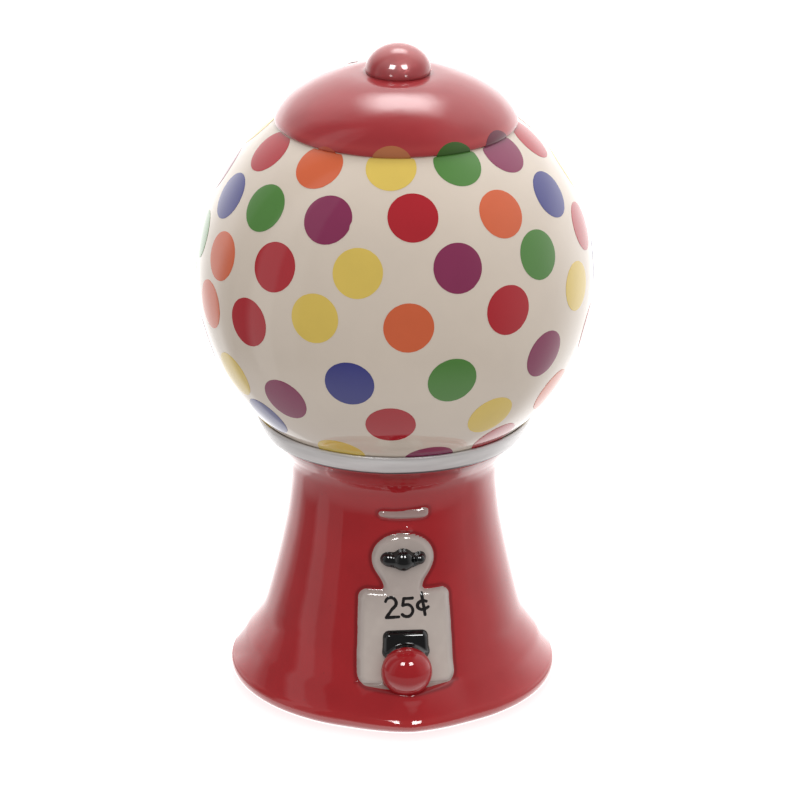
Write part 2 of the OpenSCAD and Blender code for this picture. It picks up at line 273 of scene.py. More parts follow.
def glaze(name, color, deep=None, light=None, rough=0.06, coat=1.0, mottle=0.06, bump=0.05, ior=1.5, specks=0.0, sss=0.0, under=0.35,
          spec=0.0, pooled_glaze_and_shade=True, bump_scale=180.0):
    """A fired glaze: uneven colour under a clear glossy coat; darker where one point attribute says, for pooled glaze
    and painted shade in creases and under overhangs, and paler where another says, for thinner glaze and painted
    highlights and sheen.
    """
    m = bpy.data.materials.new(name)
    nt, N, L = nodes_of(m)
    out = N.new("ShaderNodeOutputMaterial")
    b = N.new("ShaderNodeBsdfPrincipled")
    L.new(b.outputs[0], out.inputs[0])
    tc = N.new("ShaderNodeTexCoord")
    deep = deep or tuple(c * 0.55 for c in color)
    light = light or tuple(min(1, c * 1.25 + 0.02) for c in color)
    n1 = N.new("ShaderNodeTexNoise")
    n1.inputs["Scale"].default_value = 130.0
    n1.inputs["Detail"].default_value = 5.0
    n1.inputs["Roughness"].default_value = 0.55
    L.new(tc.outputs["Object"], n1.inputs["Vector"])
    r1 = N.new("ShaderNodeMapRange")
    r1.inputs["From Min"].default_value = 0.3
    r1.inputs["From Max"].default_value = 0.7
    r1.inputs["To Min"].default_value = 1 - mottle
    r1.inputs["To Max"].default_value = 1 + mottle
    L.new(n1.outputs["Fac"], r1.inputs["Value"])
    mul = N.new("ShaderNodeMix")
    mul.data_type = "RGBA"
    mul.blend_type = "MULTIPLY"
    mul.inputs["Factor"].default_value = 1.0
    mul.inputs[6].default_value = (*color, 1)
    L.new(r1.outputs[0], mul.inputs[7])
    last = mul.outputs[2]
    # painted shade and painted highlight: two point attributes mix in the darker and the paler colour
    if pooled_glaze_and_shade:
        for attr, col in (("pooled_glaze_and_shade", deep), ("thin", light)):
            a = N.new("ShaderNodeAttribute")
            a.attribute_name = attr
            mx = N.new("ShaderNodeMix")
            mx.data_type = "RGBA"
            L.new(a.outputs["Fac"], mx.inputs["Factor"])
            L.new(last, mx.inputs[6])
            mx.inputs[7].default_value = (*col, 1)
            last = mx.outputs[2]
    if specks:
        v = N.new("ShaderNodeTexVoronoi")
        v.inputs["Scale"].default_value = 260.0
        L.new(tc.outputs["Object"], v.inputs["Vector"])
        rr = N.new("ShaderNodeMapRange")
        rr.inputs["From Min"].default_value = 0.035
        rr.inputs["From Max"].default_value = 0.055
        rr.inputs["To Min"].default_value = specks
        rr.inputs["To Max"].default_value = 0.0
        L.new(v.outputs["Distance"], rr.inputs["Value"])
        mx = N.new("ShaderNodeMix")
        mx.data_type = "RGBA"
        L.new(rr.outputs[0], mx.inputs["Factor"])
        L.new(last, mx.inputs[6])
        mx.inputs[7].default_value = (*[c * 0.45 for c in color], 1)
        last = mx.outputs[2]
    L.new(last, b.inputs["Base Color"])
    # two scales of unevenness in the surface: a slow waviness and a fine orange peel
    n2 = N.new("ShaderNodeTexNoise")
    n2.inputs["Scale"].default_value = bump_scale
    n2.inputs["Detail"].default_value = 2.0
    L.new(tc.outputs["Object"], n2.inputs["Vector"])
    n3 = N.new("ShaderNodeTexNoise")
    n3.inputs["Scale"].default_value = 1500.0
    n3.inputs["Detail"].default_value = 2.0
    L.new(tc.outputs["Object"], n3.inputs["Vector"])
    b1 = N.new("ShaderNodeBump")
    b1.inputs["Strength"].default_value = bump
    b1.inputs["Distance"].default_value = 0.0006
    L.new(n2.outputs["Fac"], b1.inputs["Height"])
    b2 = N.new("ShaderNodeBump")
    b2.inputs["Strength"].default_value = bump * 0.5
    b2.inputs["Distance"].default_value = 0.00004
    L.new(n3.outputs["Fac"], b2.inputs["Height"])
    L.new(b1.outputs[0], b2.inputs["Normal"])
    L.new(b2.outputs[0], b.inputs["Normal"])
    L.new(b1.outputs[0], b.inputs["Coat Normal"])
    # under the coat the colour layer is a little rougher where the noise is high
    r2 = N.new("ShaderNodeMapRange")
    r2.inputs["To Min"].default_value = under - 0.08
    r2.inputs["To Max"].default_value = under + 0.08
    L.new(n1.outputs["Fac"], r2.inputs["Value"])
    L.new(r2.outputs[0], b.inputs["Roughness"])
    b.inputs["Specular IOR Level"].default_value = spec
    b.inputs["IOR"].default_value = 1.45
    b.inputs["Coat Weight"].default_value = coat
    b.inputs["Coat Roughness"].default_value = rough
    b.inputs["Coat IOR"].default_value = ior
    if sss:
        b.inputs["Subsurface Weight"].default_value = sss
        b.inputs["Subsurface Radius"].default_value = (1.0, 0.8, 0.6)
        b.inputs["Subsurface Scale"].default_value = 0.0008
    return m


def plain(name, color, rough=0.6, bump=0.1, scale=2500.0, mottle=0.08, metal=0.0, sss=0.0):
    """Bare clay or soft rubber: matt, with a fine grain."""
    m = bpy.data.materials.new(name)
    nt, N, L = nodes_of(m)
    out = N.new("ShaderNodeOutputMaterial")
    b = N.new("ShaderNodeBsdfPrincipled")
    L.new(b.outputs[0], out.inputs[0])
    tc = N.new("ShaderNodeTexCoord")
    n = N.new("ShaderNodeTexNoise")
    n.inputs["Scale"].default_value = scale
    n.inputs["Detail"].default_value = 6.0
    L.new(tc.outputs["Object"], n.inputs["Vector"])
    r = N.new("ShaderNodeMapRange")
    r.inputs["To Min"].default_value = 1 - mottle
    r.inputs["To Max"].default_value = 1 + mottle
    L.new(n.outputs["Fac"], r.inputs["Value"])
    mul = N.new("ShaderNodeMix")
    mul.data_type = "RGBA"
    mul.blend_type = "MULTIPLY"
    mul.inputs["Factor"].default_value = 1.0
    mul.inputs[6].default_value = (*color, 1)
    L.new(r.outputs[0], mul.inputs[7])
    L.new(mul.outputs[2], b.inputs["Base Color"])
    bp = N.new("ShaderNodeBump")
    bp.inputs["Strength"].default_value = bump
    bp.inputs["Distance"].default_value = 0.0001
    L.new(n.outputs["Fac"], bp.inputs["Height"])
    L.new(bp.outputs[0], b.inputs["Normal"])
    b.inputs["Roughness"].default_value = rough
    b.inputs["Metallic"].default_value = metal
    if sss:
        b.inputs["Subsurface Weight"].default_value = sss
        b.inputs["Subsurface Radius"].default_value = (1.0, 1.0, 1.0)
        b.inputs["Subsurface Scale"].default_value = 0.002
    return m


def lustre(name):
    """The silver lustre band: brushed on by hand, so it streaks round the rim, with a dark line where it overlaps the
    red, part paint edge and part painted shade under the band, and painted shade in the gap by the globe.
    """
    m = bpy.data.materials.new(name)
    nt, N, L = nodes_of(m)
    out = N.new("ShaderNodeOutputMaterial")
    b = N.new("ShaderNodeBsdfPrincipled")
    L.new(b.outputs[0], out.inputs[0])
    tc = N.new("ShaderNodeTexCoord")
    mp = N.new("ShaderNodeMapping")
    mp.inputs["Scale"].default_value = (90, 90, 900)
    L.new(tc.outputs["Object"], mp.inputs["Vector"])
    n = N.new("ShaderNodeTexNoise")
    n.inputs["Scale"].default_value = 1.0
    n.inputs["Detail"].default_value = 4.0
    L.new(mp.outputs[0], n.inputs["Vector"])
    r = N.new("ShaderNodeValToRGB")
    r.color_ramp.elements[0].position = 0.3
    r.color_ramp.elements[0].color = (0.56, 0.535, 0.53, 1)
    r.color_ramp.elements[1].position = 0.7
    r.color_ramp.elements[1].color = (0.70, 0.675, 0.67, 1)
    L.new(n.outputs["Fac"], r.inputs[0])
    # a dark paint edge and painted shade, mixed in by a point attribute
    a = N.new("ShaderNodeAttribute")
    a.attribute_name = "dark_edge_and_gap_shade"
    mx = N.new("ShaderNodeMix")
    mx.data_type = "RGBA"
    L.new(a.outputs["Fac"], mx.inputs["Factor"])
    L.new(r.outputs[0], mx.inputs[6])
    mx.inputs[7].default_value = (0.075, 0.08, 0.085, 1)
    L.new(mx.outputs[2], b.inputs["Base Color"])
    bp = N.new("ShaderNodeBump")
    bp.inputs["Strength"].default_value = 0.12
    bp.inputs["Distance"].default_value = 0.00008
    L.new(n.outputs["Fac"], bp.inputs["Height"])
    L.new(bp.outputs[0], b.inputs["Normal"])
    b.inputs["Metallic"].default_value = 0.30
    b.inputs["Roughness"].default_value = 0.42
    b.inputs["Coat Weight"].default_value = 0.4
    b.inputs["Coat Roughness"].default_value = 0.12
    return m


RED = (0.425, 0.019, 0.024)
M_RED = glaze("red_glaze", RED, deep=(0.19, 0.006, 0.009), light=(0.52, 0.05, 0.05), mottle=0.07, specks=0.25)
M_REDTOP = glaze("red_glaze_top", (0.37, 0.024, 0.030), deep=(0.17, 0.008, 0.011), light=(0.48, 0.05, 0.05), mottle=0.07, specks=0.25, bump=0.09, rough=0.085,
                 coat=0.9, spec=0.22, under=0.34)
# the knob's pink paler colour is painted sheen and highlight
M_KNOB = glaze("red_glaze_knob", (0.37, 0.026, 0.032), deep=(0.17, 0.008, 0.011), light=(0.56, 0.17, 0.17), mottle=0.07, rough=0.06, coat=0.85, spec=0.35,
               under=0.45)
M_CREAM = glaze("cream_glaze", (0.755, 0.652, 0.553), mottle=0.02, bump=0.03, pooled_glaze_and_shade=False)
M_PLATE = glaze("pale_glaze", (0.51, 0.435, 0.40), deep=(0.32, 0.22, 0.20), light=(0.68, 0.60, 0.545), mottle=0.05)
M_SLOT = glaze("slot_glaze", (0.42, 0.285, 0.265), mottle=0.08, pooled_glaze_and_shade=False)
M_BLACK = glaze("black_glaze", (0.005, 0.005, 0.0055), mottle=0.3, pooled_glaze_and_shade=False)
M_INK = glaze("ink", (0.014, 0.012, 0.012), mottle=0.2, pooled_glaze_and_shade=False, coat=0.7)
M_SILVER = lustre("silver_lustre")
M_BISQUE = plain("bare_clay", (0.62, 0.56, 0.48), rough=0.85, bump=0.5)
M_RUBBER = plain("clear_rubber", (0.70, 0.70, 0.68), rough=0.42, bump=0.08, scale=900.0, mottle=0.03, sss=0.3)
DOT_COLS = {"red": (0.45, 0.020, 0.030), "orange": (0.70, 0.140, 0.055), "yellow": (0.79, 0.575, 0.125),
            "green": (0.092, 0.245, 0.055), "blue": (0.055, 0.057, 0.240), "purple": (0.255, 0.034, 0.100)}
LID_COLS = {"red": (0.38, 0.020, 0.026), "orange": (0.46, 0.075, 0.034), "yellow": (0.44, 0.15, 0.062),
            "green": (0.045, 0.110, 0.020), "blue": (0.05, 0.03, 0.10), "purple": (0.14, 0.022, 0.045)}
M_DOT = {k: glaze("dot_" + k, c, mottle=0.03, bump=0.03, pooled_glaze_and_shade=False) for k, c in DOT_COLS.items()}
M_DOTLID = {k: glaze("dot_over_red_" + k, c, mottle=0.05, pooled_glaze_and_shade=False) for k, c in LID_COLS.items()}


# ---------------------------------------------------------------- cutting a gridded surface along a contour
def clip_grid(P, D, snap=0.12):
    """The part of a grid of points where D <= 0, cut along the D = 0 line. P is (nr, nc, k), and D is (nr, nc)."""
    nr, nc = D.shape
    D = D.copy()
    step = np.median(np.abs(np.diff(D, axis=1))) + 1e-9
    D[np.abs(D) < snap * step] = 0.0
    inside = D <= 0
    verts, index, faces = [], {}, []

    def corner(i, j):
        k = (i, j)
        if k not in index:
            index[k] = len(verts)
            verts.append(P[i, j])
        return index[k]

    def cut(a, b):
        k = (a, b) if a < b else (b, a)
        if k not in index:
            da, db = D[k[0]], D[k[1]]
            t = da / (da - db)
            index[k] = len(verts)
            verts.append(P[k[0]] * (1 - t) + P[k[1]] * t)
        return index[k]

    cells = np.argwhere(inside[:-1, :-1] | inside[1:, :-1] | inside[:-1, 1:] | inside[1:, 1:])
    for i, j in cells.tolist():
        ring = [(i, j), (i, j + 1), (i + 1, j + 1), (i + 1, j)]
        face = []
        for n in range(4):
            a, b = ring[n], ring[(n + 1) % 4]
            if inside[a]:
                face.append(corner(*a))
            if inside[a] != inside[b] and D[a] != 0 and D[b] != 0:
                face.append(cut(a, b))
        if len(face) >= 3:
            faces.append(face)
    return np.array(verts), faces


def close_back(front, faces, back):
    """A closed solid from an open sheet of faces and the same sheet's points pushed back."""
    n = len(front)
    V = np.concatenate([front, back])
    count = {}
    for f in faces:
        for a, b in zip(f, f[1:] + f[:1]):
            count[(a, b)] = count.get((a, b), 0) + 1
    F = list(faces) + [[v + n for v in reversed(f)] for f in faces]
    F += [[b, a, a + n, b + n] for (a, b) in count if (b, a) not in count]
    return V, F


def sheet_on_base(name, D, height, x0, x1, z0, z1, cell, mat, lift=0.03, depth=0.35, under=None, attrs=None, edge=0.08):
    """A glazed area or raised form on the base's front: the part of the surface where D(x, z) <= 0, at height(x, z) over the base."""
    xs = np.arange(x0, x1 + cell / 2, cell)
    zs = np.arange(z0, z1 + cell / 2, cell)
    X, Z = np.meshgrid(xs, zs)
    P = np.stack([X, Z], -1)
    V, F = clip_grid(P, D(X, Z))
    x, z = V[:, 0], V[:, 1]
    d = D(x, z)
    h = height(x, z) + lift * sstep(0.0, -edge, d) + 0.008
    top = front_point(x, z, 0.0, h)
    low = (relief(x, z) if under is None else under(x, z)) - depth
    back = front_point(x, z, 0.0, low)
    V, F = close_back(top, F, back)
    at = {k: np.concatenate([f(x, z)] * 2) for k, f in (attrs or {}).items()}
    return obj(name, V, F, [mat], attrs=at, sharp=50)


# ---------------------------------------------------------------- the base
def base_piece():
    outer = resample(catmull(BASE_PTS, 12), 0.04)
    keep = [0]
    for k in range(1, len(outer)):
        step = 0.08 if 2.3 < outer[k, 1] < 4.3 or 6.4 < outer[k, 1] < 8.3 else 0.27
        if np.hypot(*(outer[k] - outer[keep[-1]])) >= step or k == len(outer) - 1:
            keep.append(k)
    outer = outer[keep]
    seat = [(r, on_gap(r)) for r in np.linspace(RIM_IN, math.sqrt(GAP_R ** 2 - (GZ - FOOT_Z) ** 2), 26)]
    top = round_corners([(20.5, 43.2), (20.5, 43.35)] + seat + [(11.2, FOOT_Z), (11.2, 36.4), (9.2, 36.4)],
                        [0, 0] + [0] * 25 + [0.4, 0.5, 0.8, 0], 5)
    top = resample(top, 0.45)
    low = round_corners([(9.2, 33.6), (13.4, 33.6), (13.7, 30), (15.2, 23), (16.6, 17), (18.3, 12), (20.4, 8.4), (21.9, 6.0), (21.8, 4.2),
                         (8.5, 4.2), (8.5, 1.5), (20.2, 1.5), (20.6, 0.0), (23.7, 0.0)],
                        [0, 1.5, 1, 1, 1, 1, 1, 1, 1.2, 0.3, 0.35, 0.5, 0.45, 0], 5)
    low = resample(low, 1.3)
    low[-1] = (23.7, 0.0)
    foot = np.array([(23.9, 0.0), (24.05, 0.01)])
    prof = np.concatenate([low, foot, outer[1:], top[1:]])
    no0 = len(low) + len(foot)
    no1 = no0 + len(outer) - 1
    dense = np.radians(np.arange(-35, 35.01, 0.5))
    rest = np.linspace(math.radians(35), math.radians(325), 140)[1:-1]
    th = np.concatenate([dense, rest])
    nc = len(th)
    nr = len(prof)
    R = np.repeat(prof[:, :1], nc, 1)
    Z = np.repeat(prof[:, 1:], nc, 1)
    X, Y = R * np.sin(th)[None], -R * np.cos(th)[None]
    pooled_glaze_and_shade = np.zeros((nr, nc))
    thin = np.zeros((nr, nc))
    rows = np.arange(no0, no1)
    j = np.arange(len(dense))
    x, z = X[rows][:, j], Z[rows][:, j]
    h = relief(x, z)
    P = front_point(x, z, 0.0, h)
    for k, A in enumerate((X, Y, Z)):
        A[np.ix_(rows, j)] = P[..., k]
    # how hollow or proud the relief is: darker in the creases round the plate, round the slot and above the tray's
    # ledge, pooled glaze with painted shade; paler in a band round the foot's bulge, thinner glaze with painted sheen
    d = plate_d(x, z)
    pooled_glaze_and_shade[np.ix_(rows, j)] = 0.8 * np.exp(-((d - 0.35) / 0.28) ** 2)
    pooled_glaze_and_shade[np.ix_(rows, j)] = np.maximum(pooled_glaze_and_shade[np.ix_(rows, j)], 0.6 * np.exp(-((slot_d(x, z) - 0.3) / 0.25) ** 2))
    pooled_glaze_and_shade[np.ix_(rows, j)] = np.maximum(pooled_glaze_and_shade[np.ix_(rows, j)], 0.5 * np.exp(-((z - 7.95) / 0.25) ** 2) * (np.abs(x) < 8.5))
    zz = Z[rows]
    # painted shade, with pooled glaze, in a band under the silver rim's overhang
    pooled_glaze_and_shade[rows] = np.maximum(pooled_glaze_and_shade[rows], 0.55 * np.exp(-((zz - 42.6) / 0.7) ** 2))
    thin[rows] = 0.35 * np.exp(-((zz - 2.3) / 1.2) ** 2)
    V = np.stack([X, Y, Z], -1).reshape(-1, 3)
    F = grid_faces(nr, nc).tolist()
    row_mat = np.zeros(nr - 1, int)
    zc, rc = (prof[1:, 1] + prof[:-1, 1]) / 2, (prof[1:, 0] + prof[:-1, 0]) / 2
    i = np.arange(nr - 1)
    row_mat[(i < no0 + 1) & (zc < 0.12)] = 1
    row_mat[(i < no0) & (zc > 3.3)] = 1
    mat = np.repeat(row_mat, nc)
    # flat floor of the well and ceiling of the chamber, with three pour holes between them
    bm = bmesh.new()
    bv = [bm.verts.new(v) for v in V]
    for f, m in zip(F, mat):
        bm.faces.new([bv[k] for k in f]).material_index = int(m)
    holes = {}
    for level, z0, row in (("up", 36.4, nr - 1), ("down", 33.6, 0)):
        ring = [bv[row * nc + k] for k in range(nc)]
        edges = [bm.edges.get((a, b)) for a, b in zip(ring, ring[1:] + ring[:1])]
        loops = []
        for a in (90, 210, 330):
            cx, cy = 6 * math.cos(math.radians(a)), 6 * math.sin(math.radians(a))
            loop = [bm.verts.new((cx + 1.0 * math.cos(t), cy + 1.0 * math.sin(t), z0)) for t in np.linspace(0, 2 * np.pi, 32, endpoint=False)]
            edges += [bm.edges.new((p, q)) for p, q in zip(loop, loop[1:] + loop[:1])]
            loops.append(loop)
        got = bmesh.ops.triangle_fill(bm, use_beauty=True, use_dissolve=False, edges=edges,
                                      normal=(0, 0, 1 if level == "up" else -1))
        for g in got["geom"]:
            if isinstance(g, bmesh.types.BMFace):
                g.material_index = 0 if level == "up" else 1
        holes[level] = loops
    for up, down in zip(holes["up"], holes["down"]):
        for k in range(len(up)):
            q = (k + 1) % len(up)
            bm.faces.new([up[k], up[q], down[q], down[k]]).material_index = 0
    bmesh.ops.recalc_face_normals(bm, faces=bm.faces)
    me = bpy.data.meshes.new("base_ceramic")
    extra = len(bm.verts) - len(V)
    for v in bm.verts:
        v.co *= MM
    bm.to_mesh(me)
    bm.free()
    for m in (M_RED, M_BISQUE):
        me.materials.append(m)
    for k, a in (("pooled_glaze_and_shade", pooled_glaze_and_shade), ("thin", thin)):
        at = me.attributes.new(k, "FLOAT", "POINT")
        at.data.foreach_set("value", np.concatenate([a.ravel(), np.zeros(extra)]).astype(np.float32))
    me.polygons.foreach_set("use_smooth", np.ones(len(me.polygons), bool))
    me.set_sharp_from_angle(angle=math.radians(48))
    me.update()
    o = bpy.data.objects.new("base_ceramic", me)
    bpy.context.scene.collection.objects.link(o)
    return o


base = base_piece()
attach(base, "base_shaker")
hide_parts("base_body", "globe_cup", "catch_tray")


def silver():
    out = round_corners([(20.5, 43.4), (20.95, 43.5), (21.25, 43.75), (21.55, 44.2), (22.0, 45.1), (22.42, 46.15), (22.5, 46.6), (22.3, 46.9), (22.05, 46.86)],
                        [0, 0.3, 0.3, 0.4, 0.6, 0.3, 0.25, 0.2, 0], 4)
    inn = [(r, GZ - math.sqrt((GR + g) ** 2 - r * r)) for r, g in ((21.9, 0.10), (21.6, 0.1), (21.3, 0.16), (20.9, 0.26), (20.52, 0.3))]
    prof = resample(np.concatenate([out, inn]), 0.12)
    n = 288
    V, F = revolve(prof, n)
    nr = len(prof)
    F = [list(f) for f in F] + [[(nr - 1) * n + j, (nr - 1) * n + (j + 1) % n, (j + 1) % n, j] for j in range(n)]
    th = np.arctan2(V[:, 0], -V[:, 1])
    # a hand-banded edge: the dark lower line, part paint edge and part painted shade under the band, wanders a little
    edge = 43.92 + 0.06 * np.sin(3 * th + 0.7) + 0.03 * np.sin(7 * th)
    outside = np.hypot(V[:, 0], V[:, 1]) > 20.7 + 0.32 * (V[:, 2] - 43.4)
    dark_edge_and_gap_shade = sstep(edge + 0.05, edge - 0.05, V[:, 2]) * outside
    # painted shade, with a dark paint line, on the inner lip in the gap where the globe sits
    dark_edge_and_gap_shade = np.maximum(dark_edge_and_gap_shade, 0.5 * sstep(22.1, 21.95, np.hypot(V[:, 0], V[:, 1])) * (V[:, 2] > 46))
    return obj("silver_rim", V, F, [M_SILVER], attrs={"dark_edge_and_gap_shade": dark_edge_and_gap_shade}, sharp=60)


rim = silver()
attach(rim, "base_shaker")
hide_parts("rim_band")


# ---------------------------------------------------------------- the coin plate and what is on it
# painted shade, with pooled glaze at its foot: the plate darkens over its rounded rim
def plate_rim_darker_and_shade(x, z):
    d = plate_d(x, z)
    return 0.55 * sstep(-0.55, 0.05, d)


# the plate is paler in slow patches and towards its bottom
def plate_thin(x, z):
    return (0.2 * np.clip(wob(1.3 * x, 1.1 * z, 4.0), 0, 1) + 0.6 * sstep(24, 16, z)) * sstep(-0.3, -1.2, plate_d(x, z))


plate = sheet_on_base("coin_plate_face", lambda x, z: smax(plate_d(x, z) - 0.10, 7.75 + 0.02 * x - z, 0.15), relief, -8.6, 8.6, 7.4, 32.6, 0.14, M_PLATE,
                      lift=0.03, attrs={"pooled_glaze_and_shade": plate_rim_darker_and_shade, "thin": plate_thin})
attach(plate, "base_shaker")
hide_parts("coin_plate")

bar = sheet_on_base("coin_slot_bar_face", lambda x, z: slot_d(x, z) - 0.02, relief, -4.6, 4.6, 33.0, 37.0, 0.08, M_SLOT, lift=0.03)
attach(bar, "base_shaker")
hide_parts("coin_slot_bar")


def crank_parts(x, z):
    """The handle's three lobes and the web between them: how far outside each, and how high each stands."""
    u, v = x + 0.28, z - 27.72
    mid = np.hypot(u, v * 1.0)
    left = np.hypot((u + 2.3) * 0.88, v - 0.05)
    right = np.hypot((u - 2.7) * 0.96, v - 0.2)
    web = np.hypot(u * 0.40, v + 0.28)
    return [(mid - 1.80, 1.9, 1.80), (left - 1.20, 1.25, 1.20), (right - 1.02, 1.5, 1.02), (web - 1.34, 1.05, 1.34)]


def crank_d(x, z):
    d = None
    for e, _, _ in crank_parts(x, z):
        d = e if d is None else smin(d, e, 0.55)
    return d + 0.05


def crank_h(x, z):
    h = None
    for e, top, r in crank_parts(x, z):
        q = top * np.sqrt(np.clip(1 - np.clip((e + r) / r, 0, 1) ** 2, 0, 1))
        h = q if h is None else smax(h, q, 0.5)
    return h * sstep(0.1, -0.3, crank_d(x, z))


crank = sheet_on_base("coin_crank_handle", lambda x, z: crank_d(x, z) + 0.02, lambda x, z: relief(x, z) + crank_h(x, z), -4.2, 4.4, 25.4, 29.7, 0.07, M_BLACK,
                      lift=0.12, edge=0.12)
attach(crank, "base_shaker")
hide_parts("coin_crank")


# the chute's hood: a rounded pad with an arch that hugs the ball
def hood_d(x, z):
    top = sd_rbox(x + 0.05, z, 3.62 + 0.05 * np.clip(16.3 - z, 0, 4), 14.35, 1.98 - 0.012 * x * x, 0.95)
    lobes = np.hypot(np.abs(x + 0.02) - 3.0, z - 12.75) - 0.88
    return smin(top, lobes, 0.35)


def hood_h(x, z):
    d = hood_d(x, z)
    dx, dz = x - BALL[0], z - BALL[2]
    ring = np.hypot(dx, dz)
    up = np.clip(dz / np.maximum(ring, 1e-6), 0, 1)
    edge = np.sin(np.clip(-d / 0.8, 0, 1) * np.pi / 2) ** 0.7
    arch = 1.6 * sstep(4.3, 3.4, ring) * sstep(0.0, 0.6, up)
    return (1.0 + arch) * edge


hood = sheet_on_base("chute_hood_arch", hood_d, lambda x, z: relief(x, z) + hood_h(x, z), -4.4, 4.4, 11.2, 16.9, 0.07, M_BLACK, lift=0.0)
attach(hood, "base_shaker")
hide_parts("chute_hood")


# the price: soft brushed strokes, the generic digits 2 and 5 and a cent sign
def arc(cx, cz, r, a0, a1, n):
    return [(cx + r * math.cos(math.radians(a0 + (a1 - a0) * i / n)), cz + r * math.sin(math.radians(a0 + (a1 - a0) * i / n)))
            for i in range(n + 1)]


STROKES = [arc(-2.35, 20.65, 0.86, 168, -30, 10) + [(-2.2, 19.6), (-3.1, 18.28), (-1.1, 18.42)],
           [(1.15, 21.35), (-0.25, 21.3), (-0.42, 20.2)] + arc(0.2, 19.4, 0.98, 118, -140, 12),
           [(2.85 + 0.92 * math.cos(math.radians(t)), 20.1 + 0.70 * math.sin(math.radians(t))) for t in range(52, 318, 22)] + [(3.75, 19.75)],
           [(2.66, 21.95), (3.2, 18.55)]]


def ink_d(x, z):
    best = np.full(np.shape(x), 9.0)
    for pts in STROKES:
        for (ax, az), (bx, bz) in zip(pts, pts[1:]):
            ux, uz = bx - ax, bz - az
            t = np.clip(((x - ax) * ux + (z - az) * uz) / (ux * ux + uz * uz), 0, 1)
            best = np.minimum(best, np.hypot(x - ax - t * ux, z - az - t * uz))
    return best - 0.26 - 0.05 * wob(2.1 * x, 1.7 * z, 2.2)


price = sheet_on_base("price_strokes", ink_d, lambda x, z: relief(x, z) + 0.035 + 0.035 * sstep(0, -0.2, ink_d(x, z)), -4.0, 4.4, 17.4, 22.3, 0.06, M_INK,
                      lift=0.02, depth=0.2)
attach(price, "base_shaker")
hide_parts("price_mark")


def ball_piece():
    """The gumball in the chute, moulded on: a ball very slightly uneven, with a fillet of glaze where it meets the plate."""
    bm = bmesh.new()
    bmesh.ops.create_cube(bm, size=2.0)
    bmesh.ops.subdivide_edges(bm, edges=bm.edges, cuts=23, use_grid_fill=True)
    cx, cy, cz, r = BALL
    for v in bm.verts:
        p = v.co.normalized()
        k = 1 + 0.004 * math.sin(3 * p.x + 2 * p.z) * math.cos(2 * p.x - 3 * p.z)
        q = Vector((cx - 0.12, cy, cz)) + Vector((p.x * 1.035, p.y, p.z)) * (r * 0.994 * k)
        # the glaze skirt: where the ball nears the plate, its skin flares outwards
        R = float(base_r(q.z)) + PLATE_T
        gap = R - math.hypot(q.x, q.y)
        if gap > -0.6:
            q += Vector((p.x, 0, p.z)) * 0.35 * min(1.0, (gap + 0.6) / 0.8) ** 2
        q.z = max(q.z, 6.2)
        v.co = q * MM
    me = bpy.data.meshes.new("chute_ball")
    bm.to_mesh(me)
    bm.free()
    me.materials.append(M_BALL)
    me.polygons.foreach_set("use_smooth", np.ones(len(me.polygons), bool))
    me.update()
    o = bpy.data.objects.new("chute_ball", me)
    bpy.context.scene.collection.objects.link(o)
    return o


M_BALL = glaze("ball_red", (0.400, 0.016, 0.021), coat=0.8, mottle=0.05, bump=0.03, pooled_glaze_and_shade=False)
ball = ball_piece()
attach(ball, "base_shaker")
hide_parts("chute_gumball")


# ---------------------------------------------------------------- the globe, its cap and dots
def cut_holes(o, axis_r=POUR_R):
    """Three tilted pour holes, cut with a boolean."""
    tilt = math.asin(POUR_RING / GR)
    bm = bmesh.new()
    for a in POUR_ANGLES:
        n = 40
        m = Matrix.Translation((0, 0, GZ)) @ Matrix.Rotation(math.radians(a), 4, "Z") @ Matrix.Rotation(tilt, 4, "Y")
        ring = [[bm.verts.new((m @ Vector((axis_r * math.cos(2 * math.pi * k / n), axis_r * math.sin(2 * math.pi * k / n), z))) * MM)
                 for k in range(n)] for z in (20, 40)]
        for k in range(n):
            q = (k + 1) % n
            bm.faces.new([ring[0][k], ring[0][q], ring[1][q], ring[1][k]])
        bm.faces.new(ring[0][::-1])
        bm.faces.new(ring[1])
    me = bpy.data.meshes.new("cutter")
    bm.to_mesh(me)
    bm.free()
    c = bpy.data.objects.new("cutter", me)
    bpy.context.scene.collection.objects.link(c)
    mod = o.modifiers.new("holes", "BOOLEAN")
    mod.operation = "DIFFERENCE"
    mod.solver = "EXACT"
    mod.object = c
    dg = bpy.context.evaluated_depsgraph_get()
    new = bpy.data.meshes.new_from_object(o.evaluated_get(dg))
    o.modifiers.clear()
    old = o.data
    o.data = new
    bpy.data.meshes.remove(old)
    bpy.data.objects.remove(c)
    new.polygons.foreach_set("use_smooth", np.ones(len(new.polygons), bool))
    new.set_sharp_from_angle(angle=math.radians(40))
    return o


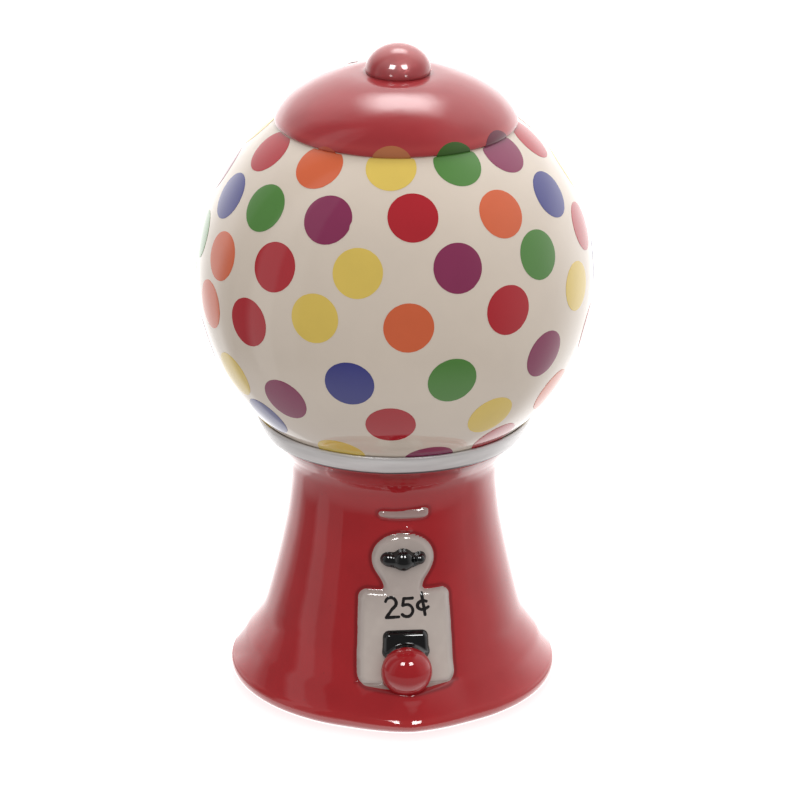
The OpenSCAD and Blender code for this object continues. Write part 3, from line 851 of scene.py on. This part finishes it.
def globe_piece():
    R = GR - 0.03
    a0 = math.acos((FOOT_Z + 0.35 - GZ) / R)
    out = [(R * math.sin(a), GZ + R * math.cos(a)) for a in np.linspace(0, a0, 150)]
    rf = math.sqrt(R * R - (GZ - FOOT_Z) ** 2)
    foot = round_corners([out[-1], (rf - 0.15, FOOT_Z), (11.8, FOOT_Z), (11.6, FOOT_Z + 1.5), (7.0, FOOT_Z + 1.5), (7.0, FOOT_Z + 1.5 + 2.8),
                          (8.5, FOOT_Z + 4.3)], [0, 0.35, 0.5, 0.6, 0.35, 0.3, 0], 5)
    ri = R - 2.8
    b0 = math.acos((FOOT_Z + 4.3 - GZ) / ri)
    inn = [(ri * math.sin(a), GZ + ri * math.cos(a)) for a in np.linspace(b0, 0, 70)]
    prof = np.concatenate([np.array(out), foot[1:], np.array(inn)])
    prof[0, 0] = 0
    prof[-1, 0] = 0
    n = 256
    V, F = revolve(prof[::-1], n)
    rr, zz = np.hypot(V[:, 0], V[:, 1]), V[:, 2]
    midx = []
    for f in F:
        c = V[list(f)].mean(0)
        rho = math.sqrt(c[0] ** 2 + c[1] ** 2 + (c[2] - GZ) ** 2)
        bare = rho < R - 1.2 and not (c[2] < FOOT_Z + 1.7 and math.hypot(c[0], c[1]) < 11.7) or (c[2] < FOOT_Z + 0.03)
        midx.append(1 if bare else 0)
    return obj("globe_ceramic", V, F, [M_CREAM, M_BISQUE], midx=midx, sharp=50)


globe = cut_holes(globe_piece())
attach(globe, "globe_shaker")
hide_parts("globe_shell")

cap_prof = catmull(CAP_PTS, 10)


def lid_piece():
    R = GR + 0.0
    edge = round_corners([(19.35, 96.05), (19.2, 95.82), (18.9, 95.72), (18.62, GZ + math.sqrt(R * R - 18.62 ** 2))], [0, 0.1, 0.1, 0], 3)
    outer = resample(cap_prof[: np.argmin(np.abs(cap_prof[:, 1] - 96.05) + (cap_prof[:, 0] < 19) * 9) + 1], 0.3)
    inn = [(r, GZ + math.sqrt(R * R - r * r)) for r in np.linspace(18.5, 0, 40)]
    top = [(0, 103.95), (2.0, 103.95), (4.0, 103.97), (4.6, 103.99), (4.9, 103.98)]
    prof = np.concatenate([np.array(top), outer, edge, np.array(inn)])
    prof[-1, 0] = 0
    n = 320
    V, F = revolve(prof[::-1], n)
    r, z = np.hypot(V[:, 0], V[:, 1]), V[:, 2]
    th = np.arctan2(V[:, 0], -V[:, 1])
    # the edge of a poured, hand-banded glaze isn't perfectly even
    up = z > GZ + np.sqrt(np.maximum(R * R - r * r, 0)) + 0.05
    k = up * np.exp(-((z - 96.2) / 1.2) ** 2)
    V[:, 2] += k * 0.06 * (np.sin(5 * th + 0.4) + 0.6 * np.sin(11 * th + 1.9)) / 1.6
    # painted shade, with pooled glaze, in a ring in the crevice round the knob's foot
    pooled_glaze_and_shade = 0.6 * np.exp(-((np.hypot(V[:, 0] - 0.25, V[:, 1]) - 5.3) / 0.35) ** 2) * (z > 103)
    # paler along the cap's rounded edge: thinner glaze with painted glints
    thin = 0.55 * np.exp(-((z - 96.9) / 0.7) ** 2) * (r > 18.2)
    o = obj("lid_ceramic", V, F, [M_REDTOP], attrs={"pooled_glaze_and_shade": pooled_glaze_and_shade, "thin": thin}, sharp=50)
    return o


lid = cut_holes(lid_piece())
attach(lid, "globe_shaker")
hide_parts("lid_cap")


def knob_piece():
    top = 108.46
    pts = [(4.7, 103.7), (4.86, 103.8), (5.0, 103.86), (5.14, 103.95), (5.24, 104.1)] + [
        (5.3 * math.cos(math.radians(a)), 103.95 + (top - 103.95) * math.sin(math.radians(a))) for a in range(6, 88, 6)]
    prof = np.concatenate([[(0, 103.7)], resample(catmull(pts, 6), 0.18), [(0, top)]])
    n = 160
    V, F = revolve(prof, n)
    z = V[:, 2].copy()
    r = np.hypot(V[:, 0], V[:, 1])
    # a hand-pulled knob: a hair out of round, and a little to one side
    th = np.arctan2(V[:, 0], -V[:, 1])
    s = 1 - 0.005 * (1 + np.sin(2 * th + 0.8)) * sstep(103.9, 105.5, z)
    V[:, 0] = V[:, 0] * s + 0.25
    V[:, 1] *= s
    pooled_glaze_and_shade = 0.0 * z
    # painted sheen: paler and pinker towards the knob's top, where it faces the overhead light, and a painted highlight
    # round its foot
    thin = np.maximum(0.75 * sstep(105.2, 108.3, z), 0.35 * sstep(104.45, 104.05, z) * (r > 4))
    return obj("lid_knob_ceramic", V, F, [M_KNOB], attrs={"pooled_glaze_and_shade": pooled_glaze_and_shade, "thin": thin}, sharp=50)


knob = knob_piece()
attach(knob, "globe_shaker")
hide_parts("lid_knob")


def direction(lon, lat):
    a, b = math.radians(lon), math.radians(lat)
    return np.array([math.sin(a) * math.cos(b), -math.cos(a) * math.cos(b), math.sin(b)])


LID_LAT = 52.6     # where the cap's edge meets the globe, in degrees above its middle


def dots_piece(colour):
    V, F = [], []
    for k, (lon, lat) in enumerate(DOTS[colour]):
        c = direction(lon, lat)
        e1 = np.cross([0, 0, 1], c)
        e1 /= np.linalg.norm(e1)
        e2 = np.cross(c, e1)
        wig = 0.05 * np.array([math.sin(k * 1.7 + len(colour)), math.cos(k * 2.3 + lon), math.sin(lat + k)])
        g = np.arange(-4.55, 4.56, 0.325)
        U, W = np.meshgrid(g, g)
        P = np.stack([U, W], -1)

        def ddot(u, w):
            ang = np.hypot(u, w)
            t = np.arctan2(w, u)
            lim = GR * math.radians(DOT_A) * (1 + 0.006 * np.sin(2 * t + 6 * wig[0]) + 0.004 * np.sin(3 * t + 9 * wig[1]))
            d = ang - lim
            if colour == "purple" and (lon, lat) == (-29, 33):
                far = GR * math.radians(DOT_A) + 0.98
                d = np.maximum(d, 1.15 - np.hypot(u - far * math.cos(-0.09), w - far * math.sin(-0.09)))
            if lat > 42:
                s = ang / GR
                q = c[None] * np.cos(s)[..., None].reshape(-1, 1) + (e1[None] * (u / np.maximum(ang, 1e-9)).reshape(-1, 1)
                    + e2[None] * (w / np.maximum(ang, 1e-9)).reshape(-1, 1)) * np.sin(s).reshape(-1, 1)
                la = np.degrees(np.arcsin(np.clip(q[:, 2], -1, 1))).reshape(np.shape(u))
                d = np.maximum(d, (la - LID_LAT - 0.5) * GR * math.pi / 180)
            return d

        v, f = clip_grid(P, ddot(U, W))
        u, w = v[:, 0], v[:, 1]
        ang = np.hypot(u, w)
        s = ang / GR
        q = c[None] * np.cos(s)[:, None] + (e1[None] * (u / np.maximum(ang, 1e-9))[:, None] + e2[None] * (w / np.maximum(ang, 1e-9))[:, None]) * np.sin(s)[:, None]
        d = ddot(u, w)
        Rt = GR + 0.012 + 0.008 * sstep(0.0, -0.2, d)
        top = q * Rt[:, None] + np.array([0, 0, GZ])
        low = q * (GR - 0.2) + np.array([0, 0, GZ])
        vv, ff = close_back(top, f, low)
        o = len(V)
        V += vv.tolist()
        F += [[a + o for a in x] for x in ff]
    return obj("dots_" + colour + "_glaze", V, F, [M_DOT[colour]], sharp=45)


def lid_dots_piece(colour):
    """Where a dot runs up over the cap's edge, its colour shows darker on the red."""
    prof = resample(cap_prof[cap_prof[:, 0] > 12.0], 0.22)
    nrm = np.gradient(prof, axis=0)
    nrm = np.stack([-nrm[:, 1], nrm[:, 0]], 1)
    nrm *= np.sign((nrm[:, :1] * (prof[:, :1]) + nrm[:, 1:] * (prof[:, 1:] - GZ)))
    nrm /= np.linalg.norm(nrm, axis=1)[:, None]
    V, F = [], []
    for lon, lat in DOTS[colour]:
        if lat < 42:
            continue
        th = np.radians(np.arange(lon - 16, lon + 16.01, 0.75))
        i = np.arange(len(prof))
        T, I = np.meshgrid(th, i)
        P = np.stack([T, I.astype(float)], -1)
        c = direction(lon, lat - 1.3)

        def on(t, s, lift):
            r = np.interp(s, i, prof[:, 0]) + lift * np.interp(s, i, nrm[:, 0])
            z = np.interp(s, i, prof[:, 1]) + lift * np.interp(s, i, nrm[:, 1])
            return np.stack([r * np.sin(t), -r * np.cos(t), z], -1)

        def dd(t, s):
            p = on(t, s, 0) - np.array([0, 0, GZ])
            p = p / np.linalg.norm(p, axis=-1)[..., None]
            return (np.degrees(np.arccos(np.clip(p @ c, -1, 1))) - DOT_A) * GR * math.pi / 180

        v, f = clip_grid(P, dd(T, I.astype(float)))
        if not f:
            continue
        d = dd(v[:, 0], v[:, 1])
        top = on(v[:, 0], v[:, 1], 1.0 * (0.012 + 0.01 * sstep(0, -0.2, d)))
        low = on(v[:, 0], v[:, 1], -0.15)
        vv, ff = close_back(top, f, low)
        o = len(V)
        V += vv.tolist()
        F += [[a + o for a in x] for x in ff]
    return obj("dots_" + colour + "_over_lid", V, F, [M_DOTLID[colour]], sharp=45)


dot_objects = []
for colour in DOTS:
    d = dots_piece(colour)
    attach(d, "globe_shaker")
    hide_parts("dots_" + colour)
    dot_objects.append(d)
    if any(lat > 42 for _, lat in DOTS[colour]):
        e = lid_dots_piece(colour)
        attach(e, "globe_shaker")
        dot_objects.append(e)


# ---------------------------------------------------------------- the stoppers
def stopper_piece(name, r, flange, z, length):
    """A soft moulded plug: flanged, hollow above, with sealing ribs and a thumb tab's ring under it."""
    pts = [(0, z - 1.15), (2.2, z - 1.15), (2.5, z - 0.75), (3.4, z - 0.75), (3.7, z - 1.15), (flange - 1.4, z - 1.15), (flange - 0.25, z - 1.12), (flange, z - 0.85),
           (flange, z - 0.06), (r - 0.18, z - 0.06), (r - 0.18, z + 0.9), (r, z + 1.2), (r - 0.18, z + 1.5), (r - 0.18, z + 2.1), (r, z + 2.4), (r - 0.18, z + 2.7),
           (r - 0.25, z + length - 0.4), (r - 0.5, z + length), (r - 1.2, z + length), (r - 1.5, z + length - 0.3), (r - 1.5, z + 0.75), (0, z + 0.75)]
    prof = round_corners(pts, [0, 0.3, 0.3, 0.3, 0.3, 0, 0.2, 0.25, 0.15, 0.1, 0.2, 0.15, 0.2, 0.2, 0.15, 0.2, 0.2, 0.3, 0.3, 0.2, 0.3, 0], 4)
    V, F = revolve(prof, 128)
    return obj(name, V, F, [M_RUBBER], sharp=40)


for nm, args, body, node in (("base_plug_rubber", (8.45, 10.0, 1.5, 4.3), "base_plug", "base_stopper"),
                             ("globe_plug_rubber", (6.95, 8.4, 43.1, 3.9), "globe_plug", "globe_stopper")):
    o = stopper_piece(nm, *args)
    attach(o, body)
    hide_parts(node)


# ---------------------------------------------------------------- floor, light and camera
EL, AZ, DIST = 21.35, -6.0, 733.6
ROLL, SHIFT = math.radians(0.45), 0.95
e, a = math.radians(EL), math.radians(AZ)
back = Vector((math.sin(a) * math.cos(e), -math.cos(a) * math.cos(e), math.sin(e)))
right0 = Vector((math.cos(a), math.sin(a), 0))
up0 = back.cross(right0).normalized()
up = up0 * math.cos(ROLL) - right0 * math.sin(ROLL)
right = right0 * math.cos(ROLL) + up0 * math.sin(ROLL)
target = Vector((0, 0, 48.0)) + right0 * SHIFT
cam_data = bpy.data.cameras.new("camera")
cam_data.sensor_width = 36
cam_data.lens = 202.5
cam_data.clip_start, cam_data.clip_end = 0.05, 20
cam = bpy.data.objects.new("camera", cam_data)
m = Matrix((right, up, back)).transposed().to_4x4()
m.translation = (target + back * DIST) * MM
cam.matrix_world = m
bpy.context.scene.collection.objects.link(cam)
bpy.context.scene.camera = cam

def wmath(op, a_, b_=None, c_=None):
    n = wn.new("ShaderNodeMath")
    n.operation = op
    for k, v in enumerate((a_, b_, c_)):
        if v is None:
            continue
        if isinstance(v, (int, float)):
            n.inputs[k].default_value = v
        else:
            WL.new(v, n.inputs[k])
    return n.outputs[0]


def wstep(lo, hi, x):
    n = wn.new("ShaderNodeMapRange")
    n.interpolation_type = "SMOOTHSTEP"
    n.inputs["From Min"].default_value = lo
    n.inputs["From Max"].default_value = hi
    WL.new(x, n.inputs["Value"])
    return n.outputs[0]


def band(x, lo, hi, soft):
    return wmath("MULTIPLY", wstep(lo - soft, lo + soft, x), wmath("SUBTRACT", 1.0, wstep(hi - soft, hi + soft, x)))


def around(vec, side_, back_):
    """What stands round the object, by compass angle from the camera: dark in front, soft boxes at the sides, a backdrop behind."""
    turn = wn.new("ShaderNodeVectorRotate")
    turn.rotation_type = "Z_AXIS"
    turn.inputs["Angle"].default_value = -a
    WL.new(vec, turn.inputs["Vector"])
    xyz = wn.new("ShaderNodeSeparateXYZ")
    WL.new(turn.outputs[0], xyz.inputs[0])
    az = wmath("MULTIPLY", wmath("ARCTAN2", xyz.outputs[0], wmath("MULTIPLY", xyz.outputs[1], -1.0)), 180 / math.pi)
    total_ = 0.22
    for shape, scale, amount in ((wmath("SUBTRACT", 1.0, wstep(-56, -52, az)), side_, 0.30), (band(az, -86, -71, 2), side_, 0.38),
                                 (band(az, -106, -89, 2), side_, -0.24), (wmath("SUBTRACT", 1.0, wstep(-122, -108, az)), back_, 0.95),
                                 (wmath("SUBTRACT", 1.0, wstep(-150, -124, az)), back_, 0.60), (wstep(38, 88, az), side_, 0.60),
                                 (wstep(86, 126, az), back_, 1.15)):
        total_ = wmath("ADD", wmath("MULTIPLY", shape, wmath("MULTIPLY", scale, amount)), total_)
    return total_, xyz


fm = bpy.data.materials.new("floor")
nt, N, L = nodes_of(fm)
out = N.new("ShaderNodeOutputMaterial")
add = N.new("ShaderNodeAddShader")
dif = N.new("ShaderNodeBsdfDiffuse")
dif.inputs["Color"].default_value = (0.36, 0.36, 0.36, 1)
em = N.new("ShaderNodeEmission")
em.inputs["Color"].default_value = (1, 1, 1, 1)
em.inputs["Strength"].default_value = 0.82
low_em = N.new("ShaderNodeEmission")
low_em.inputs["Color"].default_value = (1, 0.99, 0.98, 1)
low_em.inputs["Strength"].default_value = 0.50
mir_em = N.new("ShaderNodeEmission")
mir_em.inputs["Color"].default_value = (1, 0.99, 0.985, 1)
ftc = N.new("ShaderNodeTexCoord")
wn, WL = N, L
far, _ = around(ftc.outputs["Object"], 1.0, 1.0)
flen = N.new("ShaderNodeVectorMath")
flen.operation = "LENGTH"
L.new(ftc.outputs["Object"], flen.inputs[0])
fnear = N.new("ShaderNodeMapRange")
fnear.interpolation_type = "SMOOTHSTEP"
fnear.inputs["From Min"].default_value = 0.055
fnear.inputs["From Max"].default_value = 0.16
fnear.inputs["To Min"].default_value = 0.92
fnear.inputs["To Max"].default_value = 0.0
L.new(flen.outputs["Value"], fnear.inputs["Value"])
lpath = N.new("ShaderNodeLightPath")
# a glowing ring on the floor round the foot, seen only in close glossy reflections: a painted reflection that pales the
# foot's lower edge
under_foot = wmath("SUBTRACT", 1.0, wstep(0.031, 0.040, flen.outputs["Value"]))
close_by = wmath("SUBTRACT", 1.0, wstep(0.010, 0.022, lpath.outputs["Ray Length"]))
near = wmath("ADD", fnear.outputs[0], wmath("MULTIPLY", wmath("MULTIPLY", under_foot, close_by), 1.75))
fmax = N.new("ShaderNodeMath")
fmax.operation = "MAXIMUM"
L.new(near, fmax.inputs[0])
L.new(far, fmax.inputs[1])
L.new(fmax.outputs[0], mir_em.inputs["Strength"])
pick0 = N.new("ShaderNodeMixShader")
L.new(lpath.outputs["Is Glossy Ray"], pick0.inputs[0])
L.new(low_em.outputs[0], pick0.inputs[1])
L.new(mir_em.outputs[0], pick0.inputs[2])
pick = N.new("ShaderNodeMixShader")
L.new(dif.outputs[0], add.inputs[0])
L.new(em.outputs[0], add.inputs[1])
L.new(lpath.outputs["Is Camera Ray"], pick.inputs[0])
L.new(pick0.outputs[0], pick.inputs[1])
L.new(add.outputs[0], pick.inputs[2])
L.new(pick.outputs[0], out.inputs[0])
bm = bmesh.new()
bmesh.ops.create_circle(bm, cap_ends=True, radius=3.0, segments=96)
me = bpy.data.meshes.new("floor")
bm.to_mesh(me)
bm.free()
me.materials.append(fm)
floor = bpy.data.objects.new("floor", me)
floor.location = (0, 0, -0.00002)
bpy.context.scene.collection.objects.link(floor)

world = bpy.data.worlds.new("studio")
bpy.context.scene.world = world
world.use_nodes = True
wn, WL = world.node_tree.nodes, world.node_tree.links
wn.clear()


tc = wn.new("ShaderNodeTexCoord")
deg = 180 / math.pi
wsep = wn.new("ShaderNodeSeparateXYZ")
WL.new(tc.outputs["Generated"], wsep.inputs[0])
elv = wmath("MULTIPLY", wmath("ARCSINE", wsep.outputs[2]), deg)
side = wmath("SUBTRACT", 1.0, wstep(52, 80, elv))
backside = wmath("MULTIPLY", side, wmath("SUBTRACT", 1.0, wmath("MULTIPLY", 0.36, wstep(3, 18, elv))))
total, sep = around(tc.outputs["Generated"], side, backside)

# the overhead soft box, behind the zenith
ox = wmath("MULTIPLY", wmath("ARCTAN2", sep.outputs[1], sep.outputs[2]), deg)
oy = wmath("MULTIPLY", wmath("ARCTAN2", sep.outputs[0], sep.outputs[2]), deg)
over = wmath("MULTIPLY", wmath("MULTIPLY", band(ox, 18, 38, 7), band(oy, -12, 17, 9)), wstep(0.0, 0.2, sep.outputs[2]))
total = wmath("ADD", wmath("MULTIPLY", over, 8.5), total)
bgl = wn.new("ShaderNodeBackground")
bgl.inputs["Color"].default_value = (1.0, 0.985, 0.985, 1)
WL.new(wmath("MAXIMUM", total, 0.0), bgl.inputs["Strength"])
# what lights it: an even tent, a little stronger from above and from the right
soft = wmath("ADD", wmath("MULTIPLY", sep.outputs[0], 0.16), wmath("MULTIPLY", sep.outputs[2], 0.16))
soft = wmath("ADD", wmath("MULTIPLY", sep.outputs[1], -0.10), soft)
bgd = wn.new("ShaderNodeBackground")
bgd.inputs["Color"].default_value = (1.0, 0.995, 0.985, 1)
WL.new(wmath("ADD", soft, 0.72), bgd.inputs["Strength"])
bgc = wn.new("ShaderNodeBackground")
bgc.inputs["Color"].default_value = (1, 1, 1, 1)
bgc.inputs["Strength"].default_value = 1.05
lp = wn.new("ShaderNodeLightPath")
mixd = wn.new("ShaderNodeMixShader")
WL.new(lp.outputs["Is Diffuse Ray"], mixd.inputs[0])
WL.new(bgl.outputs[0], mixd.inputs[1])
WL.new(bgd.outputs[0], mixd.inputs[2])
mixw = wn.new("ShaderNodeMixShader")
WL.new(lp.outputs["Is Camera Ray"], mixw.inputs[0])
WL.new(mixd.outputs[0], mixw.inputs[1])
WL.new(bgc.outputs[0], mixw.inputs[2])
wo = wn.new("ShaderNodeOutputWorld")
WL.new(mixw.outputs[0], wo.inputs[0])

# two small window-like lights close by, seen only as glints; the globe and its dots are too matt to show them
shiny = bpy.data.collections.new("shiny")
for o in (base, rim, plate, bar, crank, hood, price, ball, knob):
    shiny.objects.link(o)
top_shine = bpy.data.collections.new("top_shine")
top_shine.objects.link(knob)
for name, rel, away, high, size, power in (("window_a", -25, 0.192, 0.287, 0.085, 0.60), ("window_b", 30, 0.192, 0.287, 0.085, 0.60),
                                           ("window_c", -24, 0.62, 0.20, 0.09, 0.30), ("window_d", 27, 0.62, 0.20, 0.09, 0.30)):
    ld = bpy.data.lights.new(name, "AREA")
    ld.shape = "SQUARE"
    ld.size = size
    ld.energy = power
    lo = bpy.data.objects.new(name, ld)
    aa = a + math.radians(rel)
    pos = Vector((math.sin(aa) * away, -math.cos(aa) * away, high))
    lo.location = pos
    lo.rotation_mode = "QUATERNION"
    lo.rotation_quaternion = (pos - Vector((0, 0, 0.05))).to_track_quat("Z", "Y")
    lo.visible_diffuse = False
    bpy.context.scene.collection.objects.link(lo)
    lo.light_linking.receiver_collection = top_shine if name in ("window_c", "window_d") else shiny

bpy.context.scene.view_settings.view_transform = "Standard"
bpy.context.scene.view_settings.look = "None"
